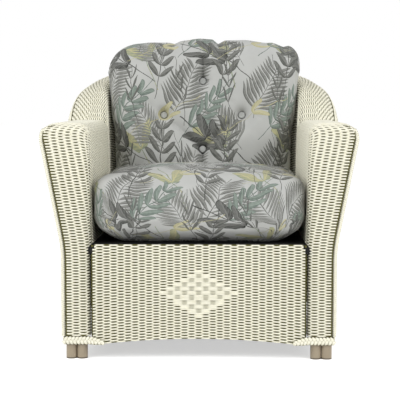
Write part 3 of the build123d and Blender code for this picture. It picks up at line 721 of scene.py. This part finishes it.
def plait(places, normals, reach, lift, half_width, half_thickness, repeat):
    """Three strands plaited along a line: reach is how far they swing across it."""
    run = lengths(places)
    fine = np.linspace(0, run[-1], max(8, int(run[-1] / repeat * points_per_repeat)))
    line = resampled(places, run, fine)
    normal = resampled(normals, run, fine)
    normal /= np.linalg.norm(normal, axis=1)[:, None]
    across = np.cross(np.gradient(line, axis=0), normal)
    across /= np.linalg.norm(across, axis=1)[:, None]
    swing = np.interp(fine, run, np.broadcast_to(reach, run.shape))
    strands = []
    for strand in range(3):
        angle = 2 * math.pi * (fine / repeat + strand / 3)
        # The tone paints a strand darker where it dips under the others and lighter on top, as painted shade
        # and light
        height = np.sin(2 * angle)
        place = line + across * (swing * np.sin(angle))[:, None] + normal * (lift * height)[:, None]
        strands.append((place, normal, plait_tone + plait_relief * height, half_width, half_thickness))
    return strands


def finish_braid(piece, *replaced):
    """Gives a braid its material and place on the frame, and hides the nodes it stands in for."""
    piece.data.materials.append(wicker)
    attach(piece, "frame")
    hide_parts(*replaced)


arm_points, arm_seam = shell_line(0.0, 0.0)
arm_end = lengths(arm_points)[-1]
edge_at, edge_out = along(arm_points, np.linspace(arm_end - edge_foot, arm_seam, edge_points))
edge_at = edge_at - edge_out * braid_sink
edge_places = np.stack([-seat_half - edge_at[:, 0], np.full(edge_points, braid_y), edge_at[:, 1]], axis=1)
edge_strands = plait(edge_places, np.tile(forward, (edge_points, 1)), braid_reach, **edge_sizes)
foot_strands = plait(foot_places, np.tile(forward, (len(foot_places), 1)), foot_reach, **foot_sizes)


def rim_strands(station, stations):
    """Plait along the seam of the rim over the given stations."""
    places, normals = [], []
    for w in stations:
        foot, out, (points, seam) = station(w)
        at, normal = along(points, [seam])
        at = at - normal * braid_sink
        places.append(foot + at[0, 0] * out + np.array([0, 0, at[0, 1]]))
        normals.append(normal[0, 0] * out + np.array([0, 0, normal[0, 1]]))
    return plait(np.array(places), np.array(normals), braid_reach, **rim_sizes)


arm_rim_strands = rim_strands(arm_outer_station, arm_stations)
back_rim_strands = rim_strands(back_station, back_stations)
for name, strands, left_node, right_node in (
    ("edge_plait", edge_strands, "left_edge_braid", "right_edge_braid"),
    ("foot_plait", foot_strands, "left_foot_braid", "right_foot_braid"),
    ("arm_rim_plait", arm_rim_strands, "left_arm_rim_braid", "right_arm_rim_braid"),
    ("back_rim_plait", back_rim_strands, "back_rim_braid", "back_rim_braid"),
):
    half = strand_mesh("left_" + name, strands)
    finish_braid(mirrored(half, "right_" + name), right_node)
    finish_braid(half, left_node)


# Cushion cloth: printed polyester in greys and sage, with a loose all-over design of leafy
# sprays. The ground is a plain weave that shows as a faint tooth.
leaf_rib = 0.10
leaf_edge = 0.13
vein_slant = 1.6
vein_rate = 20.0
tone_of = {"lower_half": 0.32, "upper_half": 0.30, "vein": 0.16, "rib": 0.50, "edge": -0.40}
brush_size = 0.010
brush_weight = 0.9
brush_middle = 0.35
sway = 0.050
sway_size = 0.11


def spray(tree, place, tile, origin, degrees, leaf, spacing, lean, count, stem):
    """Mask and tone of a leafy spray, repeated on a tile: pairs of leaves along a stem."""
    leaf_length, leaf_width, taper = leaf
    slope = math.radians(lean)

    def sums(operation, *values):
        return add(tree, "Math", dict(enumerate(values)), operation=operation).outputs[0]

    moved = add(tree, "VectorMath", {0: place, 1: (*origin, 0.0)}, operation="SUBTRACT")
    half = (tile[0] / 2, tile[1] / 2, 1.0)
    wraps = {0: moved.outputs[0], 1: half, 2: tuple(-h for h in half)}
    wrapped = add(tree, "VectorMath", wraps, operation="WRAP")
    turns = {"Vector": wrapped.outputs[0], "Angle": -math.radians(degrees)}
    turned = add(tree, "VectorRotate", turns, rotation_type="Z_AXIS")
    split = add(tree, "SeparateXYZ", {0: turned.outputs[0]})
    x = sums("ADD", split.outputs["X"], count * spacing / 2)
    off_stem = sums("ABSOLUTE", split.outputs["Y"])
    skew = sums("MULTIPLY_ADD", off_stem, -1 / math.tan(slope), x)
    pair = sums("ROUND", sums("DIVIDE", skew, spacing))
    offset = sums("MULTIPLY_ADD", pair, -spacing, skew)
    across = sums("MULTIPLY", sums("ABSOLUTE", offset), 2 * math.sin(slope) / leaf_width)
    size = sums("MULTIPLY_ADD", pair, -taper / count, 1.0)
    run = sums("DIVIDE", sums("MULTIPLY", off_stem, 1 / (math.sin(slope) * leaf_length)), size)
    swell = sums("MULTIPLY", sums("MULTIPLY", run, sums("SUBTRACT", 1.0, run)), 4.0)
    depth = sums("SUBTRACT", swell, across)
    in_row = sums("COMPARE", pair, (count - 1) / 2 + 0.5, (count - 1) / 2 + 0.1)
    leaves = sums("MULTIPLY", sums("GREATER_THAN", depth, 0.0), in_row)
    on_stem = sums("COMPARE", x, count * spacing / 2, count * spacing / 2 + spacing)
    stalk = sums("MULTIPLY", sums("LESS_THAN", off_stem, stem / 2), on_stem)
    mask = sums("MAXIMUM", leaves, stalk)
    half_leaf = sums("GREATER_THAN", offset, 0.0)
    rib = sums("LESS_THAN", across, leaf_rib)
    vein = sums("SUBTRACT", sums("MULTIPLY", run, vein_slant), across)
    vein = sums("SINE", sums("MULTIPLY", vein, vein_rate))
    tone = sums("MULTIPLY_ADD", half_leaf, tone_of["upper_half"], tone_of["lower_half"])
    tone = sums("MULTIPLY_ADD", vein, tone_of["vein"], tone)
    tone = sums("MULTIPLY_ADD", rib, tone_of["rib"], tone)
    tone = sums("MULTIPLY_ADD", sums("LESS_THAN", depth, leaf_edge), tone_of["edge"], tone)
    return mask, tone


# Sprays from the back of the design to its front: tile, origin, turn, leaf (length, width, taper),
# spacing, lean, pairs, stem, and the dark and light of the leaf
sprays = [
    ((0.262, 0.290), (0.05, 0.06), 66, (0.112, 0.0095, 0.55), 0.0150, 50, 12, 0.0020, "#565753", "#92938E"),
    ((0.252, 0.302), (0.18, 0.15), 112, (0.124, 0.042, 0.30), 0.060, 34, 2, 0.0028, "#87927F", "#BDB88F"),
    ((0.244, 0.276), (0.20, 0.24), 124, (0.098, 0.0080, 0.50), 0.0135, 46, 12, 0.0018, "#62635F", "#989994"),
    ((0.258, 0.282), (0.12, 0.01), 50, (0.082, 0.019, 0.45), 0.034, 38, 6, 0.0022, "#5C6861", "#919C93"),
    ((0.314, 0.274), (0.10, 0.20), 146, (0.108, 0.032, 0.40), 0.056, 35, 3, 0.0026, "#3C3D3A", "#7B7C78"),
    ((0.206, 0.288), (0.03, 0.17), 82, (0.070, 0.018, 0.35), 0.038, 44, 5, 0.0022, "#444541", "#858681"),
    ((0.294, 0.242), (0.24, 0.08), 28, (0.066, 0.020, 0.25), 0.066, 30, 2, 0.0018, "#AFAA82", "#C6C2A2"),
    ((0.158, 0.252), (0.14, 0.14), 98, (0.060, 0.0060, 0.20), 0.040, 22, 4, 0.0014, "#4F504C", "#777873"),
]
# Printed polyester: matt, with a little sheen, its design drawn by brush and slightly swayed
print_cloth, tree, shader = start_material("printed_polyester", 0.9)
shader.inputs["Sheen Weight"].default_value = 0.15
shader.inputs["Sheen Roughness"].default_value = 0.5
shader.inputs["Specular IOR Level"].default_value = 0.2
lay = add(tree, "Attribute", {}, attribute_name="cloth_lay")
bend = add(tree, "TexNoise", {"Vector": lay.outputs["Vector"], "Scale": 1 / sway_size, "Detail": 1.0})
middle = add(tree, "VectorMath", {0: bend.outputs["Color"], 1: (0.5, 0.5, 0.5)}, operation="SUBTRACT")
sways = {0: middle.outputs[0], 1: (sway, sway, 0.0), 2: lay.outputs["Vector"]}
swayed = add(tree, "VectorMath", sways, operation="MULTIPLY_ADD")
colour = mottled(tree, "#B5B6B3", "#C2C3C0", 0.05)
brush = add(tree, "TexNoise", {"Vector": lay.outputs["Vector"], "Scale": 1 / brush_size, "Detail": 3.0})
for tile, origin, degrees, leaf, spacing, lean, count, stem, dark, light in sprays:
    mask, tone = spray(tree, swayed.outputs[0], tile, origin, degrees, leaf, spacing, lean, count, stem)
    dabbed = add(tree, "Math", {0: brush.outputs[0], 1: brush_weight, 2: tone}, operation="MULTIPLY_ADD")
    level = add(tree, "Math", {0: dabbed.outputs[0], 1: brush_middle}, operation="SUBTRACT", use_clamp=True)
    inked = add(tree, "Mix", {0: level.outputs[0], 6: linear(dark), 7: linear(light)}, data_type="RGBA")
    laid = add(tree, "Mix", {0: mask, 6: colour, 7: inked.outputs[2]}, data_type="RGBA")
    colour = laid.outputs[2]
tree.links.new(colour, shader.inputs["Base Color"])
# Thread about 0.6 mm apart, drawn at 1.5 mm so that it shows
threaded(tree, shader, lay.outputs["Vector"], 0.0015, 0.0002, 0.5)

# The cover's room round the foam, the skin's mesh, the stuffing's pressure, and how the cloth hangs
cover_room = 0.0038
skin_voxel = 0.007
weld = 0.00005
stuffing = 4.0
swell_frames = 20
least_level = 0.3
under_reach = 0.09
under_turn = 0.4


def soft_copy(node, name):
    """Copy of a cushion's foam as one even skin, to be swelled into its cover."""
    made = nodes[node].copy()
    made.data = nodes[node].data.copy()
    made.name = name
    made.parent = None
    for key in list(made.keys()):
        del made[key]
    bpy.context.scene.collection.objects.link(made)
    pick(made)
    made.data.materials.clear()
    bpy.ops.object.mode_set(mode="EDIT")
    bpy.ops.mesh.select_all(action="SELECT")
    bpy.ops.mesh.remove_doubles(threshold=weld)
    bpy.ops.object.mode_set(mode="OBJECT")
    remesh = made.modifiers.new("skin", "REMESH")
    remesh.mode = "VOXEL"
    remesh.voxel_size = skin_voxel
    bpy.ops.object.modifier_apply(modifier="skin")
    return made


def read_points(piece, what):
    """Each point's place (co) or normal."""
    values = np.zeros(len(piece.data.vertices) * 3, np.float32)
    piece.data.vertices.foreach_get(what, values)
    return values.reshape(-1, 3).astype(float)


def set_points(piece, places):
    """Puts each point in its place."""
    piece.data.vertices.foreach_set("co", places.astype(np.float32).ravel())
    piece.data.update()


def swell(piece, held):
    """Places of a cushion's skin after its stuffing has pushed it out, with some points held."""
    group = piece.vertex_groups.new(name="held")
    for index in np.nonzero(held)[0]:
        group.add([int(index)], 1.0, "REPLACE")
    cloth = piece.modifiers.new("cover", "CLOTH")
    cloth.settings.quality = 4
    cloth.settings.mass = 0.3
    cloth.settings.tension_stiffness = 15
    cloth.settings.compression_stiffness = 15
    cloth.settings.shear_stiffness = 5
    cloth.settings.bending_stiffness = 2
    cloth.settings.use_pressure = True
    cloth.settings.uniform_pressure_force = stuffing
    cloth.settings.vertex_group_mass = "held"
    cloth.settings.effector_weights.gravity = 0
    cloth.point_cache.frame_start = 1
    cloth.point_cache.frame_end = swell_frames
    for step in range(1, swell_frames + 1):
        bpy.context.scene.frame_set(step)
    places = read_points(piece.evaluated_get(bpy.context.evaluated_depsgraph_get()), "co")
    piece.modifiers.remove(cloth)
    piece.vertex_groups.remove(group)
    bpy.context.scene.frame_set(1)
    return places


def cloth_lay(places, facing, shift):
    """Where each place of a cushion falls on its flat cloth, which hangs down the third axis."""
    drop = places[:, 2].max() - places[:, 2]
    level = np.hypot(facing[:, 0], facing[:, 1])
    outward = facing[:, :2] / np.maximum(level, least_level)[:, None]
    middle = (places[:, :2].max(axis=0) + places[:, :2].min(axis=0)) / 2
    reach = np.abs(outward) @ (places[:, :2].max(axis=0) - middle)
    under = np.clip(reach - ((places[:, :2] - middle) * outward).sum(axis=1), 0, under_reach)
    under *= smooth(np.clip(-facing[:, 2] / under_turn, 0, 1))
    hang = np.where(facing[:, 2] > 0, np.minimum(level, 1.0), 1.0) * drop + 2 * under
    flat = places[:, :2] + outward * hang[:, None] + np.array(shift)
    return np.column_stack([flat, np.zeros(len(flat))])


def dress_cushion(piece, lay, body, fill, *replaced):
    """Smooths a cushion, lays the cloth's print on it and puts it on its body."""
    attribute = piece.data.attributes.new("cloth_lay", "FLOAT_VECTOR", "POINT")
    attribute.data.foreach_set("vector", lay.astype(np.float32).ravel())
    pick(piece)
    finer = piece.modifiers.new("finer", "SUBSURF")
    finer.levels = 1
    finer.render_levels = 1
    bpy.ops.object.modifier_apply(modifier="finer")
    piece.data.materials.append(print_cloth)
    bpy.ops.object.shade_smooth()
    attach(piece, body)
    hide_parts(*replaced)


# Seat cushion: a loose foam block in a fibre wrap and a printed cover, zipped at the back.
# Its front is full and rolls under; it has no piping.
seat_base = 0.004
seat_swell = ([-0.002, -0.007, -0.001], [0.002, 0.001, 0.010])
ear = 0.007
ear_x, ear_x_run = 0.24, 0.05
ear_y, ear_y_run = -0.36, 0.07
seat = soft_copy("seat_cushion_core", "seat_cushion")
facing = read_points(seat, "normal")
rest = read_points(seat, "co") + facing * cover_room
set_points(seat, rest)
seat_lay = cloth_lay(rest, facing, (0.0, 0.0))
pushed = swell(seat, rest[:, 2] < rest[:, 2].min() + seat_base) - rest
rest = rest + np.clip(pushed, *seat_swell)
# The front corners swell a little before the arms
bulge = np.clip((np.abs(rest[:, 0]) - ear_x) / ear_x_run, 0, 1)
bulge *= np.clip((ear_y - rest[:, 1]) / ear_y_run, 0, 1)
rest[:, 0] += np.sign(rest[:, 0]) * smooth(bulge) * ear
set_points(seat, rest)
dress_cushion(seat, seat_lay, "seat_cushion", 0.85, "seat_cushion_cover", "seat_cushion_core")

# Zip: a nylon coil sewn in the back edge of the seat cover
zip_nylon, tree, shader = start_material("zip_nylon", 0.5)
tree.links.new(mottled(tree, "#55554F", "#6A6A63", 0.006), shader.inputs["Base Color"])
grained(tree, shader, 0.0015, 0.0003)
dress(["seat_cushion_zip"], zip_nylon)

# Back cushion: a soft fibre-filled cover, leaning on the woven back and drawn in by four
# covered buttons. Folds run between the buttons and up over the top edge.
lean = math.radians(15)
back_foot = 0.283
back_room = 0.0003
back_foot_y = back_wall + back_slope * (back_foot - deck) - back_room / math.cos(lean)
back_base = np.array([0.0, back_foot_y, back_foot])
up_axis = np.array([0.0, math.sin(lean), math.cos(lean)])
out_axis = np.array([0.0, -math.cos(lean), math.sin(lean)])
back_swell = ([-0.002, -0.001, -0.001], [0.002, 0.006, 0.012])
back_skin = 0.02
print_shift = (0.37, 0.21)
button_places = [(0.0, 0.469), (-0.125, 0.356), (0.125, 0.356), (0.0, 0.243)]
button_hold = 0.016
button_depth = 0.08
side_slip = 0.010
corner_slip = (0.012, 0.016)
fold_fade = 0.55
back = soft_copy("back_cushion_core", "back_cushion")


def in_back(places):
    """Places in the cushion's own frame: across, up along its lean, and out towards the sitter."""
    moved = places - back_base
    return np.stack([moved[:, 0], moved @ up_axis, moved @ out_axis], axis=1)


def from_back(own):
    """Places in the chair's frame again."""
    return back_base + own[:, :1] * [[1.0, 0, 0]] + own[:, 1:2] * up_axis + own[:, 2:] * out_axis


def ramp(values, low, high):
    """Share from 0 at low to 1 at high, eased."""
    return smooth(np.clip((values - low) / (high - low), 0, 1))


facing = read_points(back, "normal")
rest = read_points(back, "co") + facing * cover_room
set_points(back, rest)
own = in_back(rest)
own_facing = np.stack([facing[:, 0], facing @ up_axis, facing @ out_axis], axis=1)
back_lay = cloth_lay(own, own_facing, print_shift)
at_button = np.zeros(len(own), bool)
for x, y in button_places:
    at_button |= (np.hypot(own[:, 0] - x, own[:, 1] - y) < button_hold) & (own[:, 2] > button_depth)
pushed = in_back(swell(back, at_button | (own[:, 2] < back_skin))) - own
own = own + np.clip(pushed, *back_swell)
set_points(back, from_back(own))
dress_cushion(back, back_lay, "back_cushion", 0.7, "back_cushion_cover", "back_cushion_core")
own = in_back(read_points(back, "co"))
# The filling slips to the sides above the arms and up into the corners
above_arms = ramp(own[:, 1], 0.29, 0.40)
outer = ramp(np.abs(own[:, 0]), 0.17, 0.29)
own[:, 0] += np.sign(own[:, 0]) * outer * above_arms * side_slip
full_corner = ramp(own[:, 0], 0.19, 0.29) * ramp(own[:, 1], 0.47, 0.58)
own[:, 0] += full_corner * corner_slip[0]
own[:, 1] += full_corner * corner_slip[1]
# The top edge stands in lobes between the folds: how far it rises, from side to side
lobes = [(-0.310, 0.0), (-0.180, 0.004), (-0.112, -0.002), (-0.094, -0.007), (-0.076, 0.001), (-0.012, 0.008)]
lobes += [(0.030, 0.005), (0.049, -0.009), (0.070, 0.003), (0.141, 0.009), (0.225, 0.003), (0.262, -0.010)]
lobes += [(0.282, 0.0), (0.330, 0.0)]
lobe_x, lobe_rise = np.array(lobes).T
near_top = ramp(own[:, 1], 0.49, 0.60)
own[:, 1] += np.interp(own[:, 0], lobe_x, lobe_rise) * near_top
# Folds: start and end on the face, depth and half-width
folds = [
    ((0.0, 0.469), (-0.004, 0.590), 0.015, 0.0075),
    ((0.0, 0.243), (-0.090, 0.320), 0.015, 0.0070),
    ((0.0, 0.243), (0.078, 0.322), 0.015, 0.0070),
    ((0.0, 0.243), (0.0, 0.060), 0.015, 0.0075),
    ((0.0, 0.469), (-0.092, 0.620), 0.004, 0.014),
    ((0.0, 0.469), (0.049, 0.620), 0.006, 0.012),
    ((0.125, 0.356), (0.262, 0.620), 0.004, 0.016),
    ((-0.125, 0.356), (-0.300, 0.430), 0.004, 0.018),
    ((0.125, 0.356), (0.300, 0.420), 0.004, 0.018),
    ((-0.125, 0.356), (-0.250, 0.140), 0.004, 0.020),
    ((0.125, 0.356), (0.250, 0.150), 0.004, 0.020),
]
on_face = ramp(own[:, 2], 0.05, 0.11)
for begin, finish, depth, width in folds:
    begin, finish = np.array(begin), np.array(finish)
    along_fold = finish - begin
    share = np.clip((own[:, :2] - begin) @ along_fold / (along_fold @ along_fold), 0, 1)
    off = np.linalg.norm(own[:, :2] - begin - share[:, None] * along_fold, axis=1)
    own[:, 2] -= depth * (1 - fold_fade * share) * np.exp(-((off / width) ** 2)) * on_face
set_points(back, from_back(own))

# Buttons: domed discs covered in the ground of the same cloth, and plain ones behind.
# Waxed twine draws each pair together.
button_cloth, tree, shader = start_material("button_cloth", 0.9)
tree.links.new(mottled(tree, "#A3A5A2", "#B8BAB6", 0.008), shader.inputs["Base Color"])
grained(tree, shader, 0.0012, 0.0002)
dress(["back_cushion_buttons"], button_cloth)
anchor_plastic, tree, shader = start_material("moulded_button", 0.4)
tree.links.new(mottled(tree, "#B9B9B2", "#C9C9C2", 0.01), shader.inputs["Base Color"])
dress(["back_anchor_buttons"], anchor_plastic)
twine_cotton, tree, shader = start_material("waxed_twine", 0.7)
tree.links.new(mottled(tree, "#B5AC90", "#C8BFA4", 0.004), shader.inputs["Base Color"])
dress(["tufting_twine"], twine_cotton)

# Studio: a white floor that runs out of sight, an even sky and two broad soft lamps before the
# chair. Away from the chair's shadow the floor is lifted to the white of the sky.
shadow_half = (0.36, 0.20)
shadow_y = 0.06
lamp_x, lamp_y, lamp_z = 3.3, -2.4, 2.4
lamp_tilt, lamp_turn = math.radians(62), math.radians(54)


def seen_ray(tree):
    """1 for what the picture, a reflection or a clear piece shows, and 0 for light that falls on things."""
    path = add(tree, "LightPath", {})
    seen = path.outputs["Is Camera Ray"]
    for ray in ("Is Glossy Ray", "Is Transmission Ray"):
        seen = add(tree, "Math", {0: seen, 1: path.outputs[ray]}, operation="MAXIMUM").outputs[0]
    return seen


# White floor: matt, and lit a little by itself where it is seen
white, tree, shader = start_material("studio_white", 0.9)
shader.inputs["Base Color"].default_value = linear("#F8F8F8")
shader.inputs["Specular IOR Level"].default_value = 0.0
shader.inputs["Emission Color"].default_value = (1, 1, 1, 1)
place = add(tree, "TexCoord", {})
scale = (1 / shadow_half[0], 1 / shadow_half[1], 1.0)
shift = (0.0, -shadow_y / shadow_half[1], 0.0)
moved = add(tree, "VectorMath", {0: place.outputs["Object"], 1: scale, 2: shift}, operation="MULTIPLY_ADD")
away = add(tree, "VectorMath", {0: moved.outputs[0]}, operation="ABSOLUTE")
split = add(tree, "SeparateXYZ", {0: away.outputs[0]})
edge = add(tree, "Math", {0: split.outputs["X"], 1: split.outputs["Y"]}, operation="MAXIMUM")
open_floor = add(
    tree,
    "MapRange",
    {"Value": edge.outputs[0], "From Min": 0.50, "From Max": 1.25, "To Min": 0.2, "To Max": 0.55},
    interpolation_type="SMOOTHSTEP",
)
lift = add(tree, "Math", {0: seen_ray(tree), 1: open_floor.outputs[0]}, operation="MULTIPLY")
tree.links.new(lift.outputs[0], shader.inputs["Emission Strength"])
bpy.ops.mesh.primitive_plane_add(size=60, location=(0, 0, 0))
floor = bpy.context.active_object
floor.name = "studio_floor"
floor.data.materials.append(white)

world = bpy.data.worlds.new("studio_sky")
bpy.context.scene.world = world
world.use_nodes = True
tree = world.node_tree
level = add(tree, "MapRange", {"Value": seen_ray(tree), "To Min": 0.52, "To Max": 1.0})
tree.links.new(level.outputs[0], tree.nodes["Background"].inputs["Strength"])
tree.nodes["Background"].inputs["Color"].default_value = (1, 1, 1, 1)

for name, x, energy in (("left_lamp", -lamp_x, 92), ("right_lamp", lamp_x, 90)):
    lamp_data = bpy.data.lights.new(name, "AREA")
    lamp_data.energy = energy
    lamp_data.size = 2.4
    lamp = bpy.data.objects.new(name, lamp_data)
    bpy.context.scene.collection.objects.link(lamp)
    lamp.location = (x, lamp_y, lamp_z)
    lamp.rotation_euler = (lamp_tilt, 0, math.copysign(lamp_turn, x))

camera_data = bpy.data.cameras.new("camera")
camera_data.lens = 111.7
camera_data.sensor_width = 36
camera_data.clip_end = 200
camera = bpy.data.objects.new("camera", camera_data)
bpy.context.scene.collection.objects.link(camera)
camera.location = (0.075, -3.86, 0.72)
camera.rotation_euler = (math.radians(90 - 4.62), 0, math.radians(1.20))
bpy.context.scene.camera = camera
bpy.context.scene.view_settings.view_transform = "Standard"
